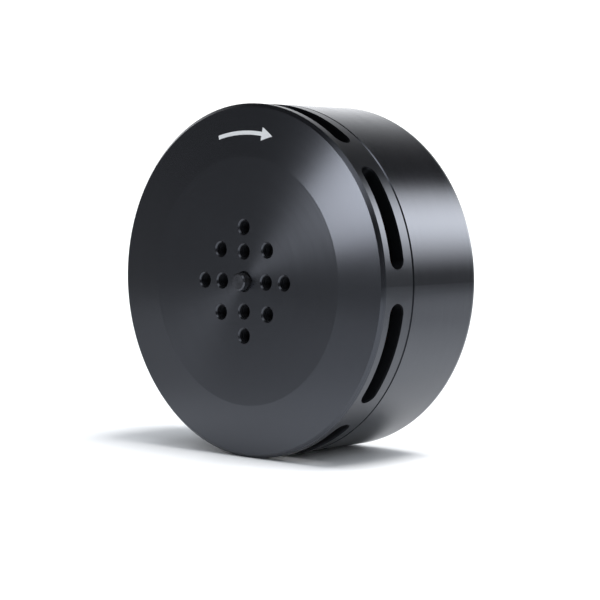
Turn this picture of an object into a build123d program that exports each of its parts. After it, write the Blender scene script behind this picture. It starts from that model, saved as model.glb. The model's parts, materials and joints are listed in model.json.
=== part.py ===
from build123d import *
import math
import os

# Brushless outrunner motor, 68 mm stator in an 80 mm rotor.
# Every piece is drawn with the shaft along +Z and the mounting face at z = 0, then
# laid down once, so that in the finished part the shaft lies along Y, the propeller
# face looks towards -Y, +Z is up and the origin is the centre of the mounting face.

# ---- rotor -----------------------------------------------------------------
rotor_radius = 40.0
rotor_length = 33.0            # front face to the rear edge of the flux ring
ring_standoff = 1.4            # rear edge of the flux ring above the mounting face
front_z = ring_standoff + rotor_length
joint_z = front_z - 10.92      # seam between the cap and the flux ring
seam_chamfer = 0.3

flat_radius = 28.05            # flat centre of the front face
bevel_radius = 39.2            # shallow cone from the flat to here
bevel_drop = 0.8
edge_chamfer = rotor_radius - bevel_radius

web_thickness = 3.0            # front web of the cap
cap_wall_inner = 36.8
spigot_outer = 37.03           # spigot that the flux ring is bonded over
spigot_inner = 35.6
spigot_length = 1.2
boss_radius = 15.0             # thick centre that takes the propeller screws
boss_thickness = 5.6
hub_radius = 8.4               # hub that grips the shaft
hub_thickness = 9.0

slot_count = 8                 # cooling slots round the cap
slot_width = 4.6
slot_centre_z = front_z - 5.65
slot_arc_deg = 28.0            # between the centres of the rounded ends
slot_first_deg = 22.5

ring_inner = 37.05
ring_rear_chamfer = 0.2        # radial
ring_rear_taper = 0.8          # axial

magnet_count = 28
magnet_inner = 34.6
magnet_outer = 37.0
magnet_length = 16.0
magnet_rear_z = 6.0
magnet_arc_deg = 11.4

# ---- holes for screws --------------------------------------------------------
m3_radius = 1.5
m4_radius = 2.0
mouth_chamfer = 0.35
front_circle_small = 6.75      # radii of the three propeller screw circles
front_circle_middle = 10.1
front_circle_large = 12.25
rear_circle_m3 = 16.0
rear_circle_m4 = 15.0

# ---- shaft -------------------------------------------------------------------
shaft_radius = 3.0
shaft_rear_z = 0.4
pilot_radius = 2.0
pilot_height = 2.0             # pilot tip in front of the front face
pilot_chamfer = 0.3
seat_radius = 2.5              # shaft's seat in the front plate, behind a thin lip
lip_thickness = 0.5
pilot_relief_radius = 1.8      # undercut of the pilot, inside the lip
fit_gap = 0.01                 # gap between pieces that are pressed or bonded together
pilot_gap = 0.02
clip_groove_radius = 2.4
clip_z = 1.25
clip_thickness = 0.6
clip_outer = 4.3
clip_opening_deg = 70.0
shim_thickness = 0.5
grub_length = 5.0
grub_z = front_z - 7.05
grub_angles = (22.5, 112.5)
grub_flat = 2.7                # distance of the shaft's flats from its axis
grub_socket_flats = 1.5        # hexagon socket, across flats
grub_socket_depth = 1.5

# ---- bearings, 6 x 13 x 5 ------------------------------------------------------
bearing_width = 5.0
bearing_outer = 6.5
inner_race_outer = 4.0
outer_race_inner = 5.5
pitch_radius = 4.75
ball_radius = 0.95
groove_radius = 1.0
ball_count = 8
shield_thickness = 0.25
shield_inset = 0.05
shield_inner = 4.15
shield_outer = 5.78
rebate_radius = 5.8
rebate_depth = 0.35
cage_inner = 4.4
cage_outer = 5.1
cage_back = -1.7               # cage, measured from the ball plane
cage_front = 0.5
pocket_radius = 1.02
rear_bearing_z = 2.4
front_bearing_z = 19.0
preload_thickness = 0.56
front_spacer_radius = 3.95

# ---- stator --------------------------------------------------------------------
tooth_count = 24
core_outer = 34.0
core_inner = 22.0
core_rear_z = 6.5
core_length = 15.0
yoke_outer = 25.2
tooth_width = 3.4
tip_arc_deg = 11.3
tip_inner = 32.6
tip_root = 31.8                # where the tip starts to flare out of the tooth
insulator_thickness = 0.6
insulator_inner = 23.0
insulator_tooth = 3.8
coil_inner = 26.0              # radial reach of a coil
coil_outer = 31.7
coil_half_inner = 3.25         # half width at the coil's inner and outer end
coil_half_outer = 3.9
coil_hole_width = 4.1
coil_end_height = 3.1
coil_rounding = 2.2
phase_teeth = {"a": (0, 1, 6, 7), "b": (2, 3, 8, 9), "c": (4, 5, 10, 11)}
crossover_radius = 23.75
crossover_section = 0.8
crossover_z = 4.4
sleeve_section = 1.3
sleeve_arc_deg = 26.0

# ---- stator mount ----------------------------------------------------------------
plate_radius = 36.2
plate_thickness = 2.0
hub_disc_thickness = 5.0
carrier_inner = 19.5
carrier_top_z = 20.5
shoulder_radius = 22.8
tube_outer = 8.6
tube_bore = 5.3
tube_top_z = 24.4
front_pocket_floor = front_bearing_z - 0.6
rib_count = 8
rib_thickness = 2.4
rib_top_z = 14.0
window_inner = 24.5
window_outer = 31.9
spoke_width = 5.0
window_fillet = 1.2
outlet_deg = 180.0
outlet_radius = 25.5
outlet_width = 4.6
outlet_length = 12.4
grommet_lip = 0.7
grommet_lip_thickness = 0.5
lead_hole_radius = 1.4
lead_spacing = 4.2
socket_chamfer = 0.3


def cylinder(radius, low, high):
    """Solid cylinder round the shaft axis, from z = low to z = high."""
    return Pos(0, 0, low) * Cylinder(radius, high - low, align=(Align.CENTER, Align.CENTER, Align.MIN))


def ring(outer, inner, low, high):
    return cylinder(outer, low, high) - cylinder(inner, low - 1, high + 1)


def turned(points, angle=360.0):
    """Turned solid from its half section, a list of (radius, z) corners."""
    section = make_face(Polyline(*[(r, 0, z) for r, z in points], close=True))
    return revolve(section, axis=Axis.Z, revolution_arc=angle)


def polar(radius, degrees, z=0.0):
    """Place a shape at a radius and angle, turned to face outwards."""
    return Rot(0, 0, degrees) * Pos(radius, 0, z)


def quarter_angles(first):
    return [first + 90.0 * k for k in range(4)]


def screw_hole(radius, mouth_z, depth, direction):
    """Round hole with a chamfered mouth at z = mouth_z; direction is +1 to open upwards."""
    floor_z = mouth_z - direction * depth
    low, high = sorted((floor_z, mouth_z + direction))
    hole = cylinder(radius, low, high)
    wide = radius + mouth_chamfer + 0.5
    mouth = turned([
        (0, mouth_z - direction * (mouth_chamfer + radius)),
        (wide, mouth_z + direction * 0.5),
        (0, mouth_z + direction * 0.5),
    ])
    return hole + mouth


def front_screw_holes():
    hole = screw_hole(m3_radius, front_z, boss_thickness, +1)
    circles = (
        (front_circle_small, 0.0),
        (front_circle_middle, 45.0),
        (front_circle_large, 0.0),
    )
    return [polar(radius, angle) * hole for radius, first in circles for angle in quarter_angles(first)]


def cooling_slot(middle_deg):
    """Curved obround through the wall of the cap, along its circumference."""
    half = slot_arc_deg / 2
    span = ring(rotor_radius + 2, cap_wall_inner - 2,
                slot_centre_z - slot_width / 2, slot_centre_z + slot_width / 2)
    reach = 2 * rotor_radius
    left = (reach * math.cos(math.radians(half)), reach * math.sin(math.radians(half)))
    wedge = extrude(make_face(Polyline((0, 0), left, (left[0], -left[1]), close=True)), 2 * front_z)
    end = Pos(rotor_radius, 0, slot_centre_z) * Rot(0, 90, 0) * Cylinder(slot_width / 2, 8)
    slot = (span & wedge) + Rot(0, 0, half) * end + Rot(0, 0, -half) * end
    return Rot(0, 0, middle_deg) * slot


def front_cap():
    wall_step = joint_z + 0.6
    body = turned([
        (0, front_z),
        (flat_radius, front_z),
        (bevel_radius, front_z - bevel_drop),
        (rotor_radius, front_z - bevel_drop - edge_chamfer),
        (rotor_radius, joint_z + seam_chamfer),
        (rotor_radius - seam_chamfer, joint_z),
        (spigot_outer, joint_z),
        (spigot_outer, joint_z - spigot_length),
        (spigot_inner, joint_z - spigot_length),
        (spigot_inner, wall_step),
        (cap_wall_inner, wall_step + cap_wall_inner - spigot_inner),
        (cap_wall_inner, front_z - web_thickness),
        (boss_radius, front_z - web_thickness),
        (boss_radius, front_z - boss_thickness),
        (hub_radius, front_z - boss_thickness),
        (hub_radius, front_z - hub_thickness),
        (0, front_z - hub_thickness),
    ])
    body -= cylinder(shaft_radius + fit_gap, 0, front_z - web_thickness)
    body -= cylinder(seat_radius + fit_gap, 0, front_z - lip_thickness)
    body -= screw_hole(pilot_radius + pilot_gap, front_z, lip_thickness + 1, +1)
    for hole in front_screw_holes():
        body -= hole
    for k in range(slot_count):
        body -= cooling_slot(slot_first_deg + k * 360.0 / slot_count)
    grub_hole = Rot(0, 90, 0) * cylinder(m3_radius, shaft_radius - 1, hub_radius + 1)
    for angle in grub_angles:
        body -= Pos(0, 0, grub_z) * Rot(0, 0, angle) * grub_hole
    return body


def flux_ring():
    return turned([
        (ring_inner, ring_standoff + ring_rear_chamfer),
        (ring_inner + ring_rear_chamfer, ring_standoff),
        (rotor_radius - ring_rear_chamfer, ring_standoff),
        (rotor_radius, ring_standoff + ring_rear_taper),
        (rotor_radius, joint_z - seam_chamfer),
        (rotor_radius - seam_chamfer, joint_z),
        (ring_inner, joint_z),
    ])


def magnets(first):
    """Every second magnet of the ring, starting with number first."""
    block = turned([
        (magnet_inner, magnet_rear_z),
        (magnet_outer, magnet_rear_z),
        (magnet_outer, magnet_rear_z + magnet_length),
        (magnet_inner, magnet_rear_z + magnet_length),
    ], magnet_arc_deg)
    centred = Rot(0, 0, -magnet_arc_deg / 2) * block
    step = 360.0 / magnet_count
    return [Rot(0, 0, k * step) * centred for k in range(first, magnet_count, 2)]


def shaft():
    shoulder_z = front_z - web_thickness
    tip_z = front_z + pilot_height
    clip_top_z = clip_z + clip_thickness + 0.05
    body = turned([
        (0, shaft_rear_z),
        (shaft_radius - 0.3, shaft_rear_z),
        (shaft_radius, shaft_rear_z + 0.3),
        (shaft_radius, clip_z),
        (clip_groove_radius, clip_z),
        (clip_groove_radius, clip_top_z),
        (shaft_radius, clip_top_z),
        (shaft_radius, shoulder_z),
        (seat_radius, shoulder_z),
        (seat_radius, front_z - lip_thickness),
        (pilot_relief_radius, front_z - lip_thickness),
        (pilot_relief_radius, front_z),
        (pilot_radius, front_z),
        (pilot_radius, tip_z - pilot_chamfer),
        (pilot_radius - pilot_chamfer, tip_z),
        (0, tip_z),
    ])
    flat_cut = Pos(grub_flat + 1, 0, grub_z) * Box(2, 2 * shaft_radius, 3.4)
    for angle in grub_angles:
        body -= Rot(0, 0, angle) * flat_cut
    return body


def shaft_grub_screws():
    inner_end = grub_flat + 0.02
    screw = Rot(0, 90, 0) * cylinder(m3_radius - 0.02, inner_end, inner_end + grub_length)
    socket = extrude(RegularPolygon(grub_socket_flats / 2, 6, major_radius=False), grub_socket_depth)
    screw -= Pos(inner_end + grub_length - grub_socket_depth, 0, 0) * Rot(0, 90, 0) * socket
    return [Pos(0, 0, grub_z) * Rot(0, 0, angle) * screw for angle in grub_angles]


def front_spacer():
    top_z = front_z - hub_thickness
    return ring(front_spacer_radius, shaft_radius + fit_gap, front_bearing_z + bearing_width, top_z)


def rear_shim():
    return ring(front_spacer_radius, shaft_radius + fit_gap, rear_bearing_z - shim_thickness, rear_bearing_z)


def shaft_circlip():
    washer = ring(clip_outer, clip_groove_radius + fit_gap, clip_z, clip_z + clip_thickness)
    half = math.radians(clip_opening_deg / 2)
    mouth = Polyline((0, 0), (9, 9 * math.tan(half)), (9, -9 * math.tan(half)), close=True)
    washer -= extrude(make_face(mouth), 2 * rear_bearing_z)
    relief = cylinder(0.9, 0, 2 * rear_bearing_z)
    for angle in (120.0, 240.0):
        washer -= polar(clip_groove_radius + 0.2, angle) * relief
    return washer


def race_groove(middle_z):
    return Pos(0, 0, middle_z) * Torus(pitch_radius, groove_radius)


def inner_race(low):
    body = ring(inner_race_outer, shaft_radius + fit_gap / 2, low, low + bearing_width)
    return body - race_groove(low + bearing_width / 2)


def outer_race(low):
    body = ring(bearing_outer - fit_gap / 2, outer_race_inner, low, low + bearing_width)
    body -= race_groove(low + bearing_width / 2)
    body -= cylinder(rebate_radius, low - 1, low + rebate_depth)
    body -= cylinder(rebate_radius, low + bearing_width - rebate_depth, low + bearing_width + 1)
    return body


def bearing_shields(low):
    near = low + shield_inset
    far = low + bearing_width - shield_inset - shield_thickness
    return [ring(shield_outer, shield_inner, z, z + shield_thickness) for z in (near, far)]


def bearing_balls(low):
    ball = Sphere(ball_radius)
    middle_z = low + bearing_width / 2
    return [polar(pitch_radius, k * 360.0 / ball_count, middle_z) * ball for k in range(ball_count)]


def bearing_cage(low):
    middle_z = low + bearing_width / 2
    body = ring(cage_outer, cage_inner, middle_z + cage_back, middle_z + cage_front)
    pocket = Rot(0, 90, 0) * Cylinder(pocket_radius, 3)
    for k in range(ball_count):
        body -= polar(pitch_radius, k * 360.0 / ball_count, middle_z) * pocket
    return body


def preload_washer():
    return ring(bearing_outer - 0.05, tube_bore + 0.15, front_pocket_floor + 0.02,
                front_pocket_floor + 0.02 + preload_thickness)


def stator_core():
    """Bonded lamination stack with T-shaped teeth."""
    half = tip_arc_deg / 2
    reach = 2 * core_outer
    slope = reach * math.tan(math.radians(half))
    wedge = make_face(Polyline((0, 0), (reach, slope), (reach, -slope), close=True))
    tip = (Circle(core_outer) - Circle(tip_inner)) & wedge
    side = tip_inner * math.sin(math.radians(half))
    flare = make_face(Polyline(
        (tip_root, tooth_width / 2),
        (tip_inner + 0.1, side),
        (tip_inner + 0.1, -side),
        (tip_root, -tooth_width / 2),
        close=True,
    ))
    stem_length = tip_inner - yoke_outer + 1.2
    stem = Pos(yoke_outer - 0.6 + stem_length / 2, 0) * Rectangle(stem_length, tooth_width)
    tooth = tip + flare + stem
    outline = Circle(yoke_outer) - Circle(core_inner + fit_gap)
    for k in range(tooth_count):
        outline += Rot(0, 0, k * 360.0 / tooth_count) * tooth
    return Pos(0, 0, core_rear_z) * extrude(outline, core_length)


def end_insulator(low):
    """Flat insulating disc with a finger over every tooth."""
    length = tip_inner - insulator_inner
    finger = Pos(insulator_inner + length / 2 + 0.5, 0) * Rectangle(length, insulator_tooth)
    outline = Circle(yoke_outer) - Circle(insulator_inner)
    for k in range(tooth_count):
        outline += Rot(0, 0, k * 360.0 / tooth_count) * finger
    outline -= Circle(insulator_inner)
    return Pos(0, 0, low) * extrude(outline, insulator_thickness)


def coil():
    """One coil round tooth number 0: a tapered block, rounded at both ends, minus the tooth."""
    low = core_rear_z - insulator_thickness - coil_end_height
    high = core_rear_z + core_length + insulator_thickness + coil_end_height
    outline = make_face(Polyline(
        (coil_inner, coil_half_inner),
        (coil_outer, coil_half_outer),
        (coil_outer, -coil_half_outer),
        (coil_inner, -coil_half_inner),
        close=True,
    ))
    block = Pos(0, 0, low) * extrude(outline, high - low)
    ends = block.edges().filter_by(lambda e: abs(e.tangent_at(0.5).Z) < 0.1 and abs(e.tangent_at(0.5).X) > 0.9)
    block = fillet(ends, coil_rounding)
    hole_height = core_length + 2 * insulator_thickness + 0.04
    hole_z = core_rear_z + core_length / 2
    return block - Pos(coil_inner, 0, hole_z) * Box(4 * coil_inner, coil_hole_width, hole_height)


def phase_coils(teeth):
    """The coils of one phase: its four teeth, and the same four half a turn on."""
    base = coil()
    half_turn = tooth_count // 2
    numbers = list(teeth) + [t + half_turn for t in teeth]
    return [Rot(0, 0, n * 360.0 / tooth_count) * base for n in numbers]


def crossover_wires():
    """Bundle of wires that joins the coils of a phase, behind the yoke."""
    return Pos(0, 0, crossover_z) * Torus(crossover_radius, crossover_section)


def star_point_sleeve():
    """Heat-shrink sleeve over the star joint in the crossover bundle."""
    start = Rot(0, 0, 90.0 - sleeve_arc_deg / 2)
    section = Pos(crossover_radius, 0, crossover_z) * Rot(90, 0, 0) * (
        Circle(sleeve_section) - Circle(crossover_section + fit_gap))
    return start * revolve(section, axis=Axis.Z, revolution_arc=sleeve_arc_deg)


def outlet_outline(grow):
    """Obround of the lead outlet, grown by a lip."""
    length = outlet_length + 2 * grow
    width = outlet_width + 2 * grow
    return Rot(0, 0, outlet_deg) * Pos(outlet_radius, 0) * Rot(0, 0, 90) * SlotOverall(length, width)


def base_window():
    """Opening in the base plate behind the coils, centred on angle 0."""
    reach = 2 * rotor_radius
    rise = reach * math.tan(math.radians(180.0 / rib_count))
    sector = make_face(Polyline((0, 0), (reach, rise), (reach, -rise), close=True))
    outline = (Circle(window_outer) - Circle(window_inner)) & sector
    for side in (-180.0 / rib_count, 180.0 / rib_count):
        outline -= Rot(0, 0, side) * Rectangle(2 * reach, spoke_width)
    outline = fillet(outline.vertices(), window_fillet)
    return Pos(0, 0, -1) * extrude(outline, plate_thickness + 2)


def stator_mount():
    """Machined base: base plate, hub disc, bearing tube, ribs and the carrier of the core."""
    body = cylinder(plate_radius, 0, plate_thickness)
    body += cylinder(core_inner, 0, hub_disc_thickness)
    body += ring(core_inner, carrier_inner, 0, carrier_top_z)
    body += ring(shoulder_radius, carrier_inner, core_rear_z - insulator_thickness, core_rear_z)
    body += cylinder(tube_outer, 0, tube_top_z)
    rib_length = carrier_inner - tube_outer + 1.0
    rib_height = rib_top_z - hub_disc_thickness + 1.0
    rib = Pos(tube_outer - 0.5 + rib_length / 2, 0, rib_top_z - rib_height / 2)
    rib = rib * Box(rib_length, rib_thickness, rib_height)
    for k in range(rib_count):
        body += Rot(0, 0, 22.5 + 360.0 * k / rib_count) * rib
    rim = body.edges().filter_by(GeomType.CIRCLE).filter_by(
        lambda e: abs(e.radius - plate_radius) < 0.01 and abs(e.center().Z) < 0.01)
    body = chamfer(rim, socket_chamfer)
    pocket = bearing_outer + fit_gap / 2
    body -= cylinder(tube_bore, -1, tube_top_z + 1)
    body -= cylinder(pocket, -1, rear_bearing_z + bearing_width)
    body -= cylinder(pocket, front_pocket_floor, tube_top_z + 1)
    for angle in quarter_angles(0.0):
        body -= polar(rear_circle_m3, angle) * screw_hole(m3_radius, 0, hub_disc_thickness + 1, -1)
    for angle in quarter_angles(45.0):
        body -= polar(rear_circle_m4, angle) * screw_hole(m4_radius, 0, hub_disc_thickness + 1, -1)
    window = base_window()
    for k in range(rib_count):
        angle = 360.0 * k / rib_count
        if angle != outlet_deg:
            body -= Rot(0, 0, angle) * window
    body -= Pos(0, 0, -1) * extrude(outlet_outline(0.0), plate_thickness + 2)
    return body


def lead_grommet():
    """Rubber grommet in the lead outlet, with a lip inside the base plate."""
    body = Pos(0, 0, 0.1) * extrude(outlet_outline(-fit_gap), plate_thickness)
    body += Pos(0, 0, plate_thickness) * extrude(outlet_outline(grommet_lip), grommet_lip_thickness)
    for offset in (-lead_spacing, 0.0, lead_spacing):
        centre = Rot(0, 0, outlet_deg) * Pos(outlet_radius, offset, 0)
        body -= centre * cylinder(lead_hole_radius, -1, plate_thickness + 2)
    return body


def motor_pieces():
    pieces = {
        "front_cap": front_cap(),
        "flux_ring": flux_ring(),
        "magnets_north": magnets(0),
        "magnets_south": magnets(1),
        "shaft": shaft(),
        "shaft_grub_screws": shaft_grub_screws(),
        "front_spacer": front_spacer(),
        "rear_shim": rear_shim(),
        "shaft_circlip": shaft_circlip(),
        "stator_mount": stator_mount(),
        "stator_core": stator_core(),
        "end_insulator_front": end_insulator(core_rear_z + core_length),
        "end_insulator_rear": end_insulator(core_rear_z - insulator_thickness),
        "crossover_wires": crossover_wires(),
        "star_point_sleeve": star_point_sleeve(),
        "preload_washer": preload_washer(),
        "lead_grommet": lead_grommet(),
    }
    for phase, teeth in phase_teeth.items():
        pieces["coils_phase_" + phase] = phase_coils(teeth)
    for place, low in (("front", front_bearing_z), ("rear", rear_bearing_z)):
        name = place + "_bearing_"
        pieces[name + "inner_race"] = inner_race(low)
        pieces[name + "outer_race"] = outer_race(low)
        pieces[name + "shields"] = bearing_shields(low)
        pieces[name + "balls"] = bearing_balls(low)
        pieces[name + "cage"] = bearing_cage(low)
    return pieces


lay_down = Rot(90, 0, 0)
os.makedirs("parts", exist_ok=True)
for node, shape in motor_pieces().items():
    solids = shape if isinstance(shape, list) else [shape]
    laid = [lay_down * solid for solid in solids]
    export_step(laid[0] if len(laid) == 1 else Compound(children=laid), "parts/" + node + ".step")
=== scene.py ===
import json
import math
import random

import bpy
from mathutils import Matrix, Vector


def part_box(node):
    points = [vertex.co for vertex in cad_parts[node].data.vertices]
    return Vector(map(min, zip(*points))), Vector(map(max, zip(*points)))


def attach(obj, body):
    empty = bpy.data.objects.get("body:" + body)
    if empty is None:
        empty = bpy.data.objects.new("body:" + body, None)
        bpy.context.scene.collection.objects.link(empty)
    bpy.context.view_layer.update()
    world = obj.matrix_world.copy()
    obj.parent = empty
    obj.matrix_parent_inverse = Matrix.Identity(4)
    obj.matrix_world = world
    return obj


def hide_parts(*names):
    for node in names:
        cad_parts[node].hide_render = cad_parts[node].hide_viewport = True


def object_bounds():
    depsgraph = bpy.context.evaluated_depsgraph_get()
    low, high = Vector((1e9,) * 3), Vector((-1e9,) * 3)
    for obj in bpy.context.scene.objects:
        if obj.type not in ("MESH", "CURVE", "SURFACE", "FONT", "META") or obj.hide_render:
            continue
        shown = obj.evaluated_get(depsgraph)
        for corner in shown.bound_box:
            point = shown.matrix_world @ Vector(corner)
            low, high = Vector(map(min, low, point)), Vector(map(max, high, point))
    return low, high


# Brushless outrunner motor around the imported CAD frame. The shaft lies along Y, the propeller
# face looks towards -Y and +Z is up. Lengths are in metres, and MM turns millimetres into them.

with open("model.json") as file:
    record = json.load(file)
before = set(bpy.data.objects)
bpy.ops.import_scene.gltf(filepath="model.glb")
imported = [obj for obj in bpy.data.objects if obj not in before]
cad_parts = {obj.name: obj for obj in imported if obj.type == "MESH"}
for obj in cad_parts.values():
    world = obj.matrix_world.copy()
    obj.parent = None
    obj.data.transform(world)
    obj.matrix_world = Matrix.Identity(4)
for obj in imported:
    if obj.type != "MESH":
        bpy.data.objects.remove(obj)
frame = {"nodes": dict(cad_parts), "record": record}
cad_low, cad_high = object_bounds()
nodes = frame["nodes"]
MM = 0.001

# ---- sizes taken from the frame -----------------------------------------------------------
cap_low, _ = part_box("front_cap")
ring_low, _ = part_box("flux_ring")
core_low, core_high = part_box("stator_core")
FACE_Y = cap_low.y                      # front face
SEAM_Y = ring_low.y                     # where the cap and the flux ring meet
CORE_MIDDLE_Y = (core_low.y + core_high.y) / 2
CORE_HALF = (core_high.y - core_low.y) / 2
MOUNTS = {m["name"]: m for m in frame["record"]["mounts"]}

# the cap: its bevel, from the flat centre to the edge, and its openings
BEVEL_INNER = 28.05 * MM
BEVEL_OUTER = 39.2 * MM
BEVEL_DROP = 0.8 * MM
SCREW_HOLES_WITHIN = 14.3 * MM          # radius that has all the screw holes inside it
WALL_RADIUS = 39.8 * MM                 # the outside of cap and ring has a larger radius than this
SEAM_CHAMFER = 0.3 * MM                 # on the edges of the seam between cap and flux ring

SHEET = 0.35 * MM                       # thickness of one lamination of the stator core

# coils
TOOTH_COUNT = 24
PHASES = {"a": (0, 1, 6, 7), "b": (2, 3, 8, 9), "c": (4, 5, 10, 11)}
WIRE = 0.62 * MM
COIL_INNER = 26.0 * MM
COIL_OUTER = 31.7 * MM
CROSSOVER_RADIUS = 23.75 * MM
CROSSOVER_Y = -4.4 * MM


# ==== small mesh helpers ====================================================================

def polar(radius, angle, y):
    """Point at a radius and angle round the shaft axis; angle 0 is +X, and +90 degrees is up."""
    return Vector((radius * math.cos(angle), y, radius * math.sin(angle)))


def make_piece(name, verts, faces, material, body, smooth=True):
    """Mesh object that rides on a body and takes its finish from a slot."""
    mesh = bpy.data.meshes.new(name)
    mesh.from_pydata([tuple(v) for v in verts], [], faces)
    mesh.validate()
    mesh.polygons.foreach_set("use_smooth", [smooth] * len(mesh.polygons))
    mesh.materials.append(material)
    piece = bpy.data.objects.new(name, mesh)
    bpy.context.scene.collection.objects.link(piece)
    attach(piece, body)
    return piece


def add_tube(verts, faces, path, radius, side_hint, closed, sides=7):
    """Adds a round tube along a path. side_hint(i) is a direction roughly square to the path."""
    start = len(verts)
    count = len(path)
    for i, point in enumerate(path):
        ahead = path[(i + 1) % count] if closed else path[min(i + 1, count - 1)]
        behind = path[i - 1] if closed or i else path[0]
        along = (ahead - behind).normalized()
        first = side_hint(i)
        first = (first - along * first.dot(along)).normalized()
        second = along.cross(first)
        for k in range(sides):
            turn = 2 * math.pi * k / sides
            verts.append(point + (first * math.cos(turn) + second * math.sin(turn)) * radius)
    for i in range(count if closed else count - 1):
        low = start + i * sides
        high = start + ((i + 1) % count) * sides
        for k in range(sides):
            nxt = (k + 1) % sides
            faces.append((low + k, low + nxt, high + nxt, high + k))
    if not closed:
        faces.append(tuple(start + k for k in reversed(range(sides))))
        last = start + (count - 1) * sides
        faces.append(tuple(last + k for k in range(sides)))


# ==== materials ===============================================================================

BLUISH = (0.82, 0.87, 1.0)              # tint of what the black surfaces reflect


class Nodes:
    """A node material being built: add nodes, link them, set constants on the shader itself."""

    def __init__(self, name, **constants):
        self.material = bpy.data.materials.new(name)
        self.material.use_nodes = True
        self.tree = self.material.node_tree
        self.shader = self.tree.nodes["Principled BSDF"]
        self.set(self.shader, **constants)

    def set(self, node, **constants):
        for key, value in constants.items():
            node.inputs[key.replace("_", " ")].default_value = value

    def add(self, kind, props=None, **constants):
        node = self.tree.nodes.new("ShaderNode" + kind)
        for key, value in (props or {}).items():
            setattr(node, key, value)
        self.set(node, **constants)
        return node

    def link(self, source, target):
        self.tree.links.new(source, target)

    def math(self, operation, first, second=None):
        """Math node; each operand is a socket or a number."""
        node = self.add("Math", {"operation": operation})
        for index, value in enumerate((first, second)):
            if value is None:
                continue
            if isinstance(value, (int, float)):
                node.inputs[index].default_value = value
            else:
                self.link(value, node.inputs[index])
        return node.outputs[0]

    def place(self):
        """x, y and z of the point, in the object's own frame."""
        split = self.add("SeparateXYZ")
        self.link(self.object_place(), split.inputs[0])
        return split.outputs["X"], split.outputs["Y"], split.outputs["Z"]

    def along(self, axis):
        """How far the point is along a unit vector."""
        dot = self.add("VectorMath", {"operation": "DOT_PRODUCT"})
        self.link(self.object_place(), dot.inputs[0])
        dot.inputs[1].default_value = axis
        return dot.outputs["Value"]

    def object_place(self):
        return self.add("TexCoord").outputs["Object"]

    def radius(self, x, z):
        squares = self.math("ADD", self.math("MULTIPLY", x, x), self.math("MULTIPLY", z, z))
        return self.math("SQRT", squares)

    def noise(self, scale, detail=2.0, roughness=0.5, vector=None):
        """Noise of about the given number of features per metre."""
        node = self.add("TexNoise", Scale=scale, Detail=detail, Roughness=roughness)
        self.link(vector or self.object_place(), node.inputs["Vector"])
        return node.outputs["Fac"]

    def line_noise(self, value, scale, detail=2.0, roughness=0.5):
        """Noise that varies only with one number, such as a radius."""
        node = self.add("TexNoise", {"noise_dimensions": "1D"}, Scale=scale, Detail=detail,
                        Roughness=roughness)
        self.link(value, node.inputs["W"])
        return node.outputs["Fac"]

    def ramp(self, value, low, high, from_low=0.0, from_high=1.0):
        """Straight change from low to high while value goes between its two limits."""
        node = self.add("MapRange", {"clamp": True})
        for index, number in ((1, from_low), (2, from_high), (3, low), (4, high)):
            node.inputs[index].default_value = number
        self.link(value, node.inputs[0])
        return node.outputs[0]

    def mix(self, factor, low, high):
        """Colour mix by a factor; low and high are colours."""
        node = self.add("Mix", {"data_type": "RGBA"})
        self.link(factor, node.inputs["Factor"])
        for index, colour in ((6, low), (7, high)):
            if isinstance(colour, bpy.types.NodeSocket):
                self.link(colour, node.inputs[index])
            else:
                node.inputs[index].default_value = (*colour, 1.0)
        return node.outputs[2]

    def streaks(self, x, z, distance, length, width):
        """Noise drawn out along the turning marks, with features of about this length and width."""
        place = self.add("CombineXYZ")
        self.link(self.math("MULTIPLY", x, 1 / length), place.inputs["X"])
        self.link(self.math("MULTIPLY", z, 1 / length), place.inputs["Y"])
        self.link(self.math("MULTIPLY", distance, 1 / width), place.inputs["Z"])
        return self.noise(1.0, 3.0, 0.6, place.outputs[0])

    def bump(self, height, distance, strength=1.0):
        node = self.add("Bump", Strength=strength, Distance=distance)
        self.link(height, node.inputs["Height"])
        if self.shader.inputs["Normal"].is_linked:
            previous = self.shader.inputs["Normal"].links[0].from_socket
            self.link(previous, node.inputs["Normal"])
        self.link(node.outputs["Normal"], self.shader.inputs["Normal"])

    def turned_tangent(self, x, z):
        """Tangent across the turning marks: radial on a face, along the axis on a side."""
        around = self.add("CombineXYZ")
        self.link(z, around.inputs["X"])
        self.link(self.math("MULTIPLY", x, -1.0), around.inputs["Z"])
        geometry = self.add("NewGeometry")
        across = self.add("VectorMath", {"operation": "CROSS_PRODUCT"})
        self.link(geometry.outputs["Normal"], across.inputs[0])
        self.link(around.outputs[0], across.inputs[1])
        self.link(across.outputs[0], self.shader.inputs["Tangent"])


def cap_openings_painted_shade(m, radius, y, _):
    """Painted shade in the cap's openings: 1 in its screw holes, below their chamfers, on its slots'
    walls and inside it, else 0; a weaker, rougher reflection there paints their shade.
    """
    below = m.ramp(y, 0.0, 1.0, FACE_Y + 0.15 * MM, FACE_Y + 0.45 * MM)
    near_centre = m.ramp(radius, 1.0, 0.0, SCREW_HOLES_WITHIN - 0.1 * MM, SCREW_HOLES_WITHIN + 0.1 * MM)
    hole = m.math("MULTIPLY", below, near_centre)
    behind = m.ramp(y, 0.0, 1.0, FACE_Y + 2.8 * MM, FACE_Y + 3.2 * MM)
    inside = m.ramp(radius, 1.0, 0.0, WALL_RADIUS - 0.5 * MM, WALL_RADIUS)
    wall = m.math("MULTIPLY", behind, inside)
    return m.math("MAXIMUM", hole, wall)


def seam_painted_shade_and_glint(m, _, y, z):
    """Painted shade and a painted glint on the flux ring's front edge: 1 on that edge, where a weaker,
    rougher reflection paints the seam's shade, -1 near its top, where a stronger, sharper reflection
    paints a glint, and 0 elsewhere.
    """
    edge = m.ramp(y, 1.0, 0.0, SEAM_Y + SEAM_CHAMFER - 0.02 * MM, SEAM_Y + SEAM_CHAMFER)
    return m.math("MULTIPLY", edge, m.ramp(z, 1.0, -1.0, 20.0 * MM, 27.0 * MM))


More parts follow.
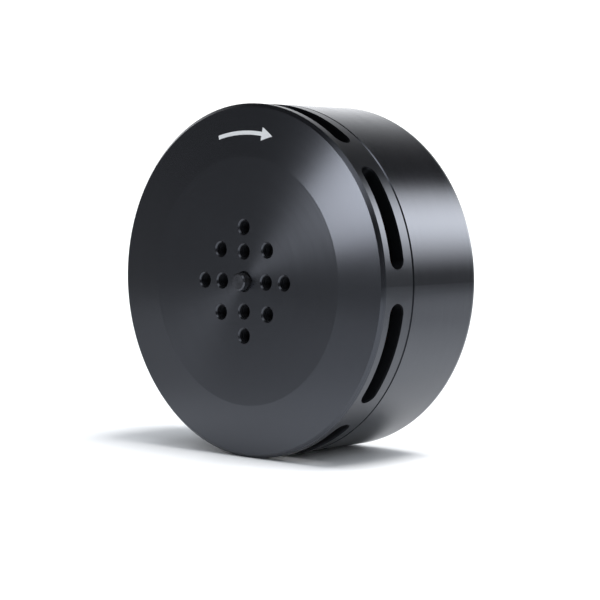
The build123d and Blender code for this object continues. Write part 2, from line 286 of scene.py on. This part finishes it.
def turned_metal(name, colour, colour_high, roughness, anisotropy, ior, groove, metallic=0.0,
                 rim_roughness=None, painted_light_mask=None, uneven=0.16):
    """Lathe-turned or brushed surface round the shaft axis, with fine rings and soft variation.

    Its reflections are bluish. groove is the depth of the rings and uneven how much they vary.
    rim_roughness is for the outside of the cap. The shade mask gives 1 where a weaker, rougher
    reflection paints the shade of crevices and -1 where a stronger, sharper one paints a glint on
    edges."""
    m = Nodes(name, Metallic=metallic, IOR=ior, Anisotropic=anisotropy)
    m.shader.inputs["Specular Tint"].default_value = (*BLUISH, 1.0)
    x, y, z = m.place()
    radius = m.radius(x, z)
    distance = m.math("ADD", radius, y)
    m.turned_tangent(x, z)
    coarse = m.line_noise(distance, 900.0, 3.0, 0.6)
    streaks = m.streaks(x, z, distance, 12.0 * MM, 0.35 * MM)
    level = m.ramp(radius, roughness, rim_roughness or roughness,
                   WALL_RADIUS - 0.5 * MM, WALL_RADIUS + 0.1 * MM)
    shine = m.ramp(streaks, 0.5 - 0.3 * uneven, 0.5 + 0.3 * uneven, 0.25, 0.75)
    # painted shade and glint: where the mask is 1 the reflection is weaker and rougher, as painted
    # shade; where it is -1 it is stronger and sharper, as a painted glint
    if painted_light_mask:
        painted_shade_and_glint = painted_light_mask(m, radius, y, z)
        level = m.math("ADD", level, m.math("MULTIPLY", painted_shade_and_glint, 0.15))
        shine = m.math("MULTIPLY", shine, m.ramp(painted_shade_and_glint, 1.76, 0.24, -1.0, 1.0))
    m.link(shine, m.shader.inputs["Specular IOR Level"])
    m.link(m.math("MULTIPLY", level, m.ramp(streaks, 1 - uneven, 1 + uneven, 0.25, 0.75)),
           m.shader.inputs["Roughness"])
    m.link(m.mix(coarse, colour, colour_high), m.shader.inputs["Base Color"])
    m.bump(m.line_noise(distance, 6000.0, 4.0, 0.7), groove)
    return m.material


def ground_steel(name, colour, roughness=0.22):
    """Bare steel with fine grinding marks round the axis."""
    m = Nodes(name, Metallic=1.0, Anisotropic=0.5)
    x, y, z = m.place()
    distance = m.math("ADD", m.radius(x, z), y)
    m.turned_tangent(x, z)
    marks = m.line_noise(distance, 9000.0, 3.0, 0.7)
    m.link(m.ramp(marks, roughness * 0.8, roughness * 1.3), m.shader.inputs["Roughness"])
    darker = tuple(c * 0.8 for c in colour)
    m.link(m.mix(m.noise(300.0, 3.0), darker, colour), m.shader.inputs["Base Color"])
    m.bump(marks, 1.0e-6)
    return m.material


def black_oxide():
    """Screws and clips: blackened steel with a slightly oily sheen."""
    m = Nodes("black_oxide", Metallic=0.6)
    cloud = m.noise(900.0, 4.0)
    m.link(m.ramp(cloud, 0.25, 0.45), m.shader.inputs["Roughness"])
    m.link(m.mix(cloud, (0.012, 0.012, 0.013), (0.035, 0.033, 0.032)), m.shader.inputs["Base Color"])
    m.bump(m.noise(5000.0, 2.0), 2.0e-6)
    return m.material


def nickel():
    """Nickel-plated magnets: bright, slightly warm, with faint plating mottle."""
    m = Nodes("nickel_plate", Metallic=1.0)
    mottle = m.noise(700.0, 4.0)
    m.link(m.ramp(mottle, 0.16, 0.34), m.shader.inputs["Roughness"])
    m.link(m.mix(mottle, (0.42, 0.41, 0.39), (0.60, 0.585, 0.56)), m.shader.inputs["Base Color"])
    m.bump(m.noise(2600.0, 3.0), 3.0e-6)
    return m.material


def laminations():
    """Stack of thin steel sheets under a thin clear varnish."""
    m = Nodes("lamination_stack", Metallic=0.9, Coat_Weight=0.4, Coat_Roughness=0.2)
    _, y, _ = m.place()
    sheets = m.math("PINGPONG", y, SHEET / 2)
    edge = m.ramp(sheets, 0.0, 1.0, 0.0, 0.05 * MM)
    cloud = m.noise(500.0, 3.0)
    m.link(m.ramp(cloud, 0.30, 0.50), m.shader.inputs["Roughness"])
    steel = m.mix(cloud, (0.16, 0.165, 0.175), (0.28, 0.285, 0.30))
    m.link(m.mix(edge, (0.02, 0.02, 0.022), steel), m.shader.inputs["Base Color"])
    m.bump(edge, 0.03 * MM)
    return m.material


def glass_fibre():
    """Dark green-black glass fibre sheet with a faint weave."""
    m = Nodes("glass_fibre", Roughness=0.45)
    x, _, z = m.place()
    warp = m.math("SINE", m.math("MULTIPLY", x, 9000.0))
    weft = m.math("SINE", m.math("MULTIPLY", z, 9000.0))
    weave = m.ramp(m.math("MULTIPLY", warp, weft), 0.0, 1.0, -1.0, 1.0)
    m.link(m.mix(weave, (0.010, 0.018, 0.013), (0.022, 0.036, 0.027)), m.shader.inputs["Base Color"])
    m.bump(weave, 0.02 * MM)
    return m.material


def enamelled_wire():
    """Copper wire under dark amber enamel: the metal shows through a glossy coat."""
    m = Nodes("enamelled_wire", Metallic=0.85, Coat_Weight=0.8, Coat_Roughness=0.12)
    cloud = m.noise(400.0, 3.0)
    fine = m.noise(4000.0, 2.0)
    m.link(m.mix(cloud, (0.22, 0.060, 0.022), (0.40, 0.125, 0.045)), m.shader.inputs["Base Color"])
    m.link(m.ramp(fine, 0.25, 0.42), m.shader.inputs["Roughness"])
    m.bump(fine, 4.0e-6)
    return m.material


def soft_black(name, roughness, scale, height, colour=(0.012, 0.012, 0.012)):
    """Rubber or heat-shrink: dark, matt, with a fine skin texture."""
    m = Nodes(name, Roughness=roughness)
    skin = m.noise(scale, 4.0, 0.6)
    lighter = tuple(c * 1.8 for c in colour)
    m.link(m.mix(skin, colour, lighter), m.shader.inputs["Base Color"])
    m.bump(skin, height)
    return m.material


def cage_nylon():
    m = Nodes("cage_nylon", Roughness=0.5, Subsurface_Weight=0.1)
    cloud = m.noise(1500.0, 3.0)
    m.link(m.mix(cloud, (0.16, 0.075, 0.028), (0.24, 0.12, 0.05)), m.shader.inputs["Base Color"])
    m.bump(cloud, 5.0e-6)
    return m.material


def white_ink():
    """Printed mark: matt off-white with slightly uneven cover."""
    m = Nodes("white_ink", Roughness=0.6)
    cover = m.noise(5000.0, 3.0)
    m.link(m.mix(cover, (0.62, 0.63, 0.64), (0.82, 0.83, 0.84)), m.shader.inputs["Base Color"])
    m.bump(cover, 3.0e-6)
    return m.material


# the cap gets painted shade in its openings, and the ring painted shade on its seam with a painted
# glint near the seam's top, through their masks
ANODISED_FACE = turned_metal("anodised_turned", (0.0030, 0.0032, 0.0038), (0.0040, 0.0042, 0.0049),
                             0.22, 0.75, 1.75, 0.3e-6, rim_roughness=0.29, painted_light_mask=cap_openings_painted_shade,
                             uneven=0.05)
RING_BLACK = turned_metal("ring_brushed", (0.0030, 0.0032, 0.0038), (0.0040, 0.0042, 0.0049),
                          0.22, 0.75, 1.77, 0.4e-6, painted_light_mask=seam_painted_shade_and_glint)
BASE_BLACK = turned_metal("base_turned", (0.0055, 0.0057, 0.0065), (0.0090, 0.0093, 0.0103),
                          0.33, 0.50, 1.70, 1.5e-6)
SHAFT_DARK = turned_metal("shaft_blackened", (0.010, 0.010, 0.011), (0.020, 0.020, 0.021),
                          0.25, 0.4, 1.9, 1.0e-6, metallic=0.3)
STEEL = ground_steel("ground_steel", (0.62, 0.62, 0.63))
BEARING_STEEL = ground_steel("bearing_steel", (0.70, 0.70, 0.71), 0.14)
OXIDE = black_oxide()
NICKEL = nickel()
LAMINATIONS = laminations()
INSULATOR = glass_fibre()
WIRE_ENAMEL = enamelled_wire()
SLEEVE = soft_black("heat_shrink", 0.38, 1500.0, 2.0e-5)
RUBBER = soft_black("grommet_rubber", 0.62, 3500.0, 1.2e-5)
NYLON = cage_nylon()
INK = white_ink()

NODE_MATERIALS = {
    "front_cap": ANODISED_FACE,
    "flux_ring": RING_BLACK,
    "magnets_north": NICKEL,
    "magnets_south": NICKEL,
    "shaft": SHAFT_DARK,
    "shaft_grub_screws": OXIDE,
    "front_spacer": STEEL,
    "rear_shim": STEEL,
    "shaft_circlip": OXIDE,
    "stator_mount": BASE_BLACK,
    "stator_core": LAMINATIONS,
    "end_insulator_front": INSULATOR,
    "end_insulator_rear": INSULATOR,
    "star_point_sleeve": SLEEVE,
    "preload_washer": STEEL,
    "lead_grommet": RUBBER,
}
for place in ("front", "rear"):
    NODE_MATERIALS[place + "_bearing_inner_race"] = BEARING_STEEL
    NODE_MATERIALS[place + "_bearing_outer_race"] = BEARING_STEEL
    NODE_MATERIALS[place + "_bearing_shields"] = STEEL
    NODE_MATERIALS[place + "_bearing_balls"] = BEARING_STEEL
    NODE_MATERIALS[place + "_bearing_cage"] = NYLON


def dress_cad_nodes():
    for name, material in NODE_MATERIALS.items():
        for material_slot in nodes[name].material_slots:
            material_slot.material = material


# ==== screw threads ===========================================================================

PITCH_MM = {1.5: 0.5, 2.0: 0.7}         # of an M3 and an M4 thread, by the radius of its hole
LEAD_IN = 0.35 * MM                     # plain mouth of a hole before its thread starts


def add_thread(verts, faces, centre, inward, radius, length, pitch, sides=28):
    """Helical ridge inside a round hole. inward is the Y direction into the hole."""
    depth = 0.16 * radius
    half = 0.42 * pitch
    turns = length / pitch
    count = int(turns * sides)
    start = len(verts)
    for i in range(count + 1):
        turn = 2 * math.pi * i / sides
        along = pitch * i / sides
        fade = min(1.0, i / sides, (count - i) / sides)
        crest = radius - depth * fade
        for reach, shift in ((radius + 0.02 * MM, -half), (crest, -0.1 * pitch),
                             (crest, 0.1 * pitch), (radius + 0.02 * MM, half)):
            offset = Vector((reach * math.cos(turn), 0, reach * math.sin(turn)))
            verts.append(centre + offset + Vector((0, inward * (along + half + shift), 0)))
    for i in range(count):
        low = start + 4 * i
        for k in range(4):
            nxt = (k + 1) % 4
            faces.append((low + k, low + 4 + k, low + 4 + nxt, low + nxt))
    faces.append((start, start + 1, start + 2, start + 3))
    last = start + 4 * count
    faces.append((last + 3, last + 2, last + 1, last))


def screw_threads(name, mount_names, first_angles, length, body, material):
    """Threads in every hole of some bolt circles of four, as one piece."""
    verts, faces = [], []
    for mount_name, first in zip(mount_names, first_angles):
        mount = MOUNTS[mount_name]
        dims = mount["dims"]
        circle = dims["pcd_mm"] / 2 * MM
        radius = dims["hole_r_mm"] * MM
        inward = -mount["axis"][1]
        pitch = PITCH_MM[dims["hole_r_mm"]] * MM
        for k in range(dims["count"]):
            angle = math.radians(first + 90.0 * k)
            centre = polar(circle, angle, mount["pos_m"][1] + inward * LEAD_IN)
            add_thread(verts, faces, centre, inward, radius, length, pitch)
    return make_piece(name, verts, faces, material, body)


# ==== printed direction mark ==================================================================

def bevel_point(radius, angle, proud):
    """Point on the cap's bevel, lifted off the surface by proud."""
    share = (radius - BEVEL_INNER) / (BEVEL_OUTER - BEVEL_INNER)
    return polar(radius, angle, FACE_Y + share * BEVEL_DROP - proud)


def direction_mark():
    """Curved arrow along the bevel, a generic sign of the direction of turning."""
    middle = 33.4 * MM
    half_width = 0.45 * MM
    head_half = 1.5 * MM
    start, neck, tip = math.radians(104.0), math.radians(81.0), math.radians(75.5)
    steps = 40
    rows = []
    for i in range(steps + 1):
        angle = start + (neck - start) * i / steps
        rows.append((angle, half_width))
    for i in range(9):
        angle = neck + (tip - neck) * i / 8
        rows.append((angle, head_half * (1 - i / 8) + 0.02 * MM))
    verts, faces = [], []
    for angle, half in rows:
        for radius in (middle - half, middle + half):
            for proud in (0.018 * MM, -0.02 * MM):
                verts.append(bevel_point(radius, angle, proud))
    for i in range(len(rows) - 1):
        a, b = 4 * i, 4 * i + 4
        faces.append((a, a + 2, b + 2, b))
        faces.append((a + 1, b + 1, b + 3, a + 3))
        faces.append((a, b, b + 1, a + 1))
        faces.append((a + 2, a + 3, b + 3, b + 2))
    faces.append((0, 1, 3, 2))
    last = 4 * (len(rows) - 1)
    faces.append((last, last + 2, last + 3, last + 1))
    return make_piece("direction_mark", verts, faces, INK, "rotor", smooth=False)


# ==== windings ================================================================================

def wire_turn(half_width, half_height, corner):
    """Closed loop round a tooth as (across, along) points: a rectangle with round corners."""
    points = []
    corners = ((1, 1, 0), (-1, 1, 90), (-1, -1, 180), (1, -1, 270))
    for sx, sy, first in corners:
        for step in range(5):
            turn = math.radians(first + 22.5 * step)
            points.append((sx * (half_width - corner) + corner * math.cos(turn),
                           sy * (half_height - corner) + corner * math.sin(turn)))
    return points


def coil_layer(tooth_angle, layer, start, end, chance):
    """Path of one layer of wire: a spiral of turns from radius start to radius end."""
    turns = max(1, round(abs(end - start) / WIRE))
    half_width = 2.05 * MM + WIRE * (0.5 + 0.9 * layer)
    half_height = CORE_HALF + 0.6 * MM + WIRE * 0.6 + layer * 0.80 * MM
    corner = 1.0 * MM + layer * 0.55 * MM
    loop = wire_turn(half_width, half_height, corner)
    out = Vector((math.cos(tooth_angle), 0, math.sin(tooth_angle)))
    side = Vector((-math.sin(tooth_angle), 0, math.cos(tooth_angle)))
    path = []
    for turn in range(turns):
        slack = chance.uniform(-0.12, 0.25) * MM
        sway = chance.uniform(-0.05, 0.05) * MM
        for i, (across, along) in enumerate(loop):
            share = (turn + i / len(loop)) / turns
            radius = start + (end - start) * share + sway
            stretch = 1 + slack / half_height if abs(along) > half_height * 0.9 else 1.0
            path.append(out * radius + side * across + Vector((0, CORE_MIDDLE_Y + along * stretch, 0)))
    return path


def wind_phase(phase, teeth):
    """All eight coils of a phase as one piece of wound wire."""
    verts, faces = [], []
    chance = random.Random("phase " + phase)
    numbers = list(teeth) + [t + TOOTH_COUNT // 2 for t in teeth]
    for number in numbers:
        angle = 2 * math.pi * number / TOOTH_COUNT
        out = Vector((math.cos(angle), 0, math.sin(angle)))
        low = COIL_INNER + WIRE * 0.5
        high = COIL_OUTER - WIRE * 0.5
        layers = ((0, low, high), (1, high, low), (2, low + 3.0 * MM, high))
        for layer, start, end in layers:
            path = coil_layer(angle, layer, start, end, chance)
            add_tube(verts, faces, path, WIRE * 0.49, lambda i: out, closed=False)
        add_tail(verts, faces, angle, out, chance)
    piece = make_piece("winding_phase_" + phase, verts, faces, WIRE_ENAMEL, "stator")
    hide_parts("coils_phase_" + phase)
    return piece


def add_tail(verts, faces, angle, out, chance):
    """Wire from the inner end of a coil to the crossover bundle behind the yoke."""
    side = Vector((-math.sin(angle), 0, math.cos(angle)))
    lean = chance.choice((-1, 1))
    rear = CORE_MIDDLE_Y + CORE_HALF + 1.4 * MM
    start = out * (COIL_INNER + 0.5 * MM) + side * (lean * 1.6 * MM) + Vector((0, rear, 0))
    middle = out * (COIL_INNER - 0.9 * MM) + side * (lean * 2.3 * MM) + Vector((0, rear + 0.35 * MM, 0))
    finish_angle = angle + lean * math.radians(8.0)
    end = polar(CROSSOVER_RADIUS + 0.3 * MM, finish_angle, CROSSOVER_Y - 0.35 * MM)
    path = []
    for i in range(9):
        t = i / 8
        path.append(start * (1 - t) ** 2 + middle * (2 * t * (1 - t)) + end * t ** 2)
    add_tube(verts, faces, path, WIRE * 0.45, lambda i: Vector((0, 1, 0)), closed=False)


def crossover_bundle():
    """Seven wires laid together round the hub behind the yoke."""
    verts, faces = [], []
    count = 220
    wires = [(0.0, 0.0)] + [(0.50 * MM, 60.0 * k) for k in range(6)]
    for offset, first in wires:
        path = []
        for i in range(count):
            share = i / count
            turn = math.radians(first) + 2 * math.pi * 5 * share
            radius = CROSSOVER_RADIUS + offset * math.cos(turn)
            path.append(polar(radius, 2 * math.pi * share, CROSSOVER_Y + offset * math.sin(turn)))
        add_tube(verts, faces, path, 0.26 * MM, lambda i: Vector((0, 1, 0)), closed=True)
    piece = make_piece("crossover_wires_laid", verts, faces, WIRE_ENAMEL, "stator")
    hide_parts("crossover_wires")
    return piece


# ==== studio ==================================================================================

CAMERA_AZIMUTH = math.radians(43.64)
CAMERA_ELEVATION = math.radians(2.86)
CAMERA_DISTANCE = 0.406
AIM_RIGHT = 12.65 * MM
AIM_UP = -4.18 * MM
LENS = 108.2

FLOOR_SIDES = (-0.45, 0.42)             # left and right edge, as the camera sees them
FLOOR_DEPTHS = (0.3, -6.0)              # near and far edge, towards the camera and away


def direction(azimuth, elevation):
    """Unit vector: azimuth 0 is -Y, 90 is +X, and elevation is above the horizon, in degrees."""
    a, e = math.radians(azimuth), math.radians(elevation)
    return Vector((math.sin(a) * math.cos(e), -math.cos(a) * math.cos(e), math.sin(e)))


def make_camera():
    """Long lens, a little above the floor, aimed beside the centre of the front face."""
    target = Vector((0, FACE_Y, 0))
    back = direction(math.degrees(CAMERA_AZIMUTH), math.degrees(CAMERA_ELEVATION))
    right = Vector((-back.y, back.x, 0)).normalized()
    up = back.cross(right)
    data = bpy.data.cameras.new("camera")
    data.lens = LENS
    data.sensor_width = 36.0
    data.clip_start = 0.01
    data.clip_end = 100.0
    camera = bpy.data.objects.new("camera", data)
    camera.location = target + back * CAMERA_DISTANCE
    aim = target + right * AIM_RIGHT + up * AIM_UP
    camera.rotation_euler = (aim - camera.location).to_track_quat("-Z", "Y").to_euler()
    bpy.context.scene.collection.objects.link(camera)
    bpy.context.scene.camera = camera


def make_floor():
    """Plain white table that the motor stands on, on the rim of its rotor; it runs far back.

    In reflections its colour is darker, most at its sides: painted shade where less light falls. From
    below it is clear."""
    ahead = Vector((math.sin(CAMERA_AZIMUTH), -math.cos(CAMERA_AZIMUTH), 0))
    right = Vector((-ahead.y, ahead.x, 0))
    level = Vector((0, 0, cad_low.z))
    (left_edge, right_edge), (near_edge, far_edge) = FLOOR_SIDES, FLOOR_DEPTHS
    outline = ((left_edge, near_edge), (right_edge, near_edge),
               (right_edge, far_edge), (left_edge, far_edge))
    corners = [level + right * side + ahead * depth for side, depth in outline]
    mesh = bpy.data.meshes.new("floor")
    mesh.from_pydata([tuple(c) for c in corners], [], [(0, 1, 2, 3)])
    m = Nodes("floor_white", Roughness=0.6)
    m.shader.inputs["Specular IOR Level"].default_value = 0.2
    # painted shade: the table's colour goes dark grey towards its sides, for glossy rays only, where
    # less light would fall on it
    side, depth = m.along(right), m.along(ahead)
    left = m.math("MULTIPLY", m.ramp(side, 0.71, 0.0, -0.12, -0.065),
                  m.ramp(depth, 0.0, 1.0, -0.25, -0.15))
    near_right = m.ramp(side, 0.10, 0.46, 0.05, 0.12)
    far_right = m.ramp(side, 0.0, 0.53, 0.18, right_edge)
    dim = m.math("MAXIMUM", left, m.math("ADD", near_right, far_right))
    dim = m.math("MULTIPLY", dim, m.add("LightPath").outputs["Is Glossy Ray"])
    white = m.mix(m.noise(6.0, 2.0), (0.88, 0.885, 0.90), (0.90, 0.905, 0.915))
    m.link(m.mix(dim, white, (0.20, 0.203, 0.213)), m.shader.inputs["Base Color"])
    above = m.math("SUBTRACT", 1.0, m.add("NewGeometry").outputs["Backfacing"])
    m.link(above, m.shader.inputs["Alpha"])
    mesh.materials.append(m.material)
    floor = bpy.data.objects.new("floor", mesh)
    bpy.context.scene.collection.objects.link(floor)


def top_light():
    """Soft light from above and the right, which lights the table and makes its shadows."""
    data = bpy.data.lights.new("top", "SUN")
    data.energy = 2.9
    data.angle = math.radians(24.0)
    data.color = (1.0, 0.995, 0.985)
    lamp = bpy.data.objects.new("top", data)
    place = direction(99.0, 70.0)
    lamp.rotation_euler = (-place).to_track_quat("-Z", "Y").to_euler()
    lamp.visible_glossy = False
    bpy.context.scene.collection.objects.link(lamp)


def front_light():
    """Small round softbox near the front face, seen only in reflections."""
    data = bpy.data.lights.new("front", "AREA")
    data.shape = "DISK"
    data.size = 0.10
    data.energy = 0.325
    data.color = (0.97, 0.98, 1.0)
    lamp = bpy.data.objects.new("front", data)
    lamp.location = (-0.157, -0.389, 0.061)
    aim = Vector((0.021, FACE_Y, 0.012))
    lamp.rotation_euler = (aim - lamp.location).to_track_quat("-Z", "Y").to_euler()
    lamp.visible_camera = False
    lamp.visible_diffuse = False
    bpy.context.scene.collection.objects.link(lamp)


class Room:
    """What the motor's black surfaces reflect, as brightness by direction, added up in a world."""

    def __init__(self):
        world = bpy.data.worlds.new("studio")
        bpy.context.scene.world = world
        world.use_nodes = True
        world.cycles.sampling_method = "NONE"       # so that the floor gets only the fill
        self.tree = world.node_tree
        self.tree.nodes.clear()
        self.place = self.add("TexCoord").outputs["Generated"]
        split = self.add("SeparateXYZ")
        self.link(self.place, split.inputs[0])
        self.x, self.y, self.z = split.outputs
        self.total = None

    def add(self, kind, **props):
        node = self.tree.nodes.new("ShaderNode" + kind)
        for key, value in props.items():
            setattr(node, key, value)
        return node

    def link(self, source, target):
        self.tree.links.new(source, target)

    def math(self, operation, *operands):
        node = self.add("Math", operation=operation)
        for index, value in enumerate(operands):
            if isinstance(value, (int, float)):
                node.inputs[index].default_value = value
            else:
                self.link(value, node.inputs[index])
        return node.outputs[0]

    def step(self, value, from_low, from_high, low=0.0, high=1.0):
        """Smooth change from low to high while value goes between its two limits."""
        node = self.add("MapRange", interpolation_type="SMOOTHSTEP")
        for index, number in ((1, from_low), (2, from_high), (3, low), (4, high)):
            node.inputs[index].default_value = number
        self.link(value, node.inputs[0])
        return node.outputs[0]

    def brighten(self, amount):
        self.total = amount if self.total is None else self.math("ADD", self.total, amount)

    def cone(self, centre, wide_deg, full_deg, brightness):
        """Round soft patch, zero at wide_deg from its centre and full within full_deg."""
        dot = self.add("VectorMath", operation="DOT_PRODUCT")
        self.link(self.place, dot.inputs[0])
        dot.inputs[1].default_value = centre.normalized()
        away = self.math("ARCCOSINE", dot.outputs["Value"])
        core, edge = math.radians(full_deg), math.radians(wide_deg)
        self.brighten(self.step(away, core, edge, brightness, 0.0))

    def panel(self, turn_deg, half_deg, y_low, y_high, brightness):
        """Soft band round the Y axis, centred on an angle from +X towards +Z; its top edge is
        crisper."""
        turn = self.math("ARCTAN2", self.z, self.x)
        above = self.math("SUBTRACT", turn, math.radians(turn_deg))
        soft = self.step(self.math("ABSOLUTE", above), 0.0, math.radians(half_deg), brightness, 0.0)
        crisp = self.step(above, math.radians(20.0), math.radians(31.0), 1.0, 0.0)
        band = self.math("MULTIPLY", soft, crisp)
        near = self.step(self.y, y_low - 0.12, y_low + 0.12)
        far = self.step(self.y, y_high - 0.08, y_high + 0.08, 1.0, 0.0)
        self.brighten(self.math("MULTIPLY", band, self.math("MULTIPLY", near, far)))

    def background(self, tint, strength):
        light = self.add("Background")
        light.inputs["Color"].default_value = (*tint, 1.0)
        if isinstance(strength, (int, float)):
            light.inputs["Strength"].default_value = strength
        else:
            self.link(strength, light.inputs["Strength"])
        return light.outputs[0]

    def choose(self, condition, otherwise, chosen):
        mix = self.add("MixShader")
        self.link(condition, mix.inputs["Fac"])
        self.link(otherwise, mix.inputs[1])
        self.link(chosen, mix.inputs[2])
        return mix.outputs[0]

    def finish(self, tint, fill_tint, fill, seen):
        """Reflections show the room; matt things get a fill that is strongest from above and
        stronger from the right than from the left; the camera sees plain white behind."""
        path = self.add("LightPath")
        height = self.math("ADD", self.z, self.math("MULTIPLY", self.x, 0.5))
        overhead = self.background(fill_tint, self.step(height, 0.25, 0.95, 0.17 * fill, fill))
        plain = self.background((1.0, 1.0, 1.0), seen)
        shown = self.background(tint, self.total)
        shown = self.choose(path.outputs["Is Diffuse Ray"], shown, overhead)
        shown = self.choose(path.outputs["Is Camera Ray"], shown, plain)
        output = self.add("OutputWorld")
        self.link(shown, output.inputs["Surface"])


def make_room():
    room = Room()
    room.brighten(room.step(room.z, -0.1, 0.5, 0.25, 0.055))         # dim room, darker overhead
    room.cone(direction(-136.0, 0.0), 55.0, 12.0, 1.95)              # lit backdrop behind, to the left
    room.panel(38.0, 37.0, 0.50, 0.92, 6.45)                         # softbox behind, to the right
    room.cone(Vector((0.38, -0.52, 0.77)), 27.0, 6.0, 1.7)           # ceiling light behind the camera
    room.cone(Vector((0.14, 0.95, 0.25)), 14.0, 4.0, 4.5)            # the ring's back edge shows it
    room.finish((0.96, 0.975, 1.0), (0.91, 0.955, 1.0), 1.24, 1.35)


def make_studio():
    bpy.context.scene.view_settings.view_transform = "Standard"
    make_room()
    top_light()
    front_light()


# ==== build ===================================================================================

make_camera()
make_floor()
make_studio()
dress_cad_nodes()
direction_mark()
screw_threads("front_screw_threads",
              ("propeller_bolts_inner", "propeller_bolts_middle", "propeller_bolts_outer"),
              (0.0, 45.0, 0.0), 4.8 * MM, "rotor", ANODISED_FACE)
screw_threads("rear_screw_threads", ("rear_bolts_m3", "rear_bolts_m4"), (0.0, 45.0),
              4.2 * MM, "stator", BASE_BLACK)
for phase, teeth in PHASES.items():
    wind_phase(phase, teeth)
crossover_bundle()
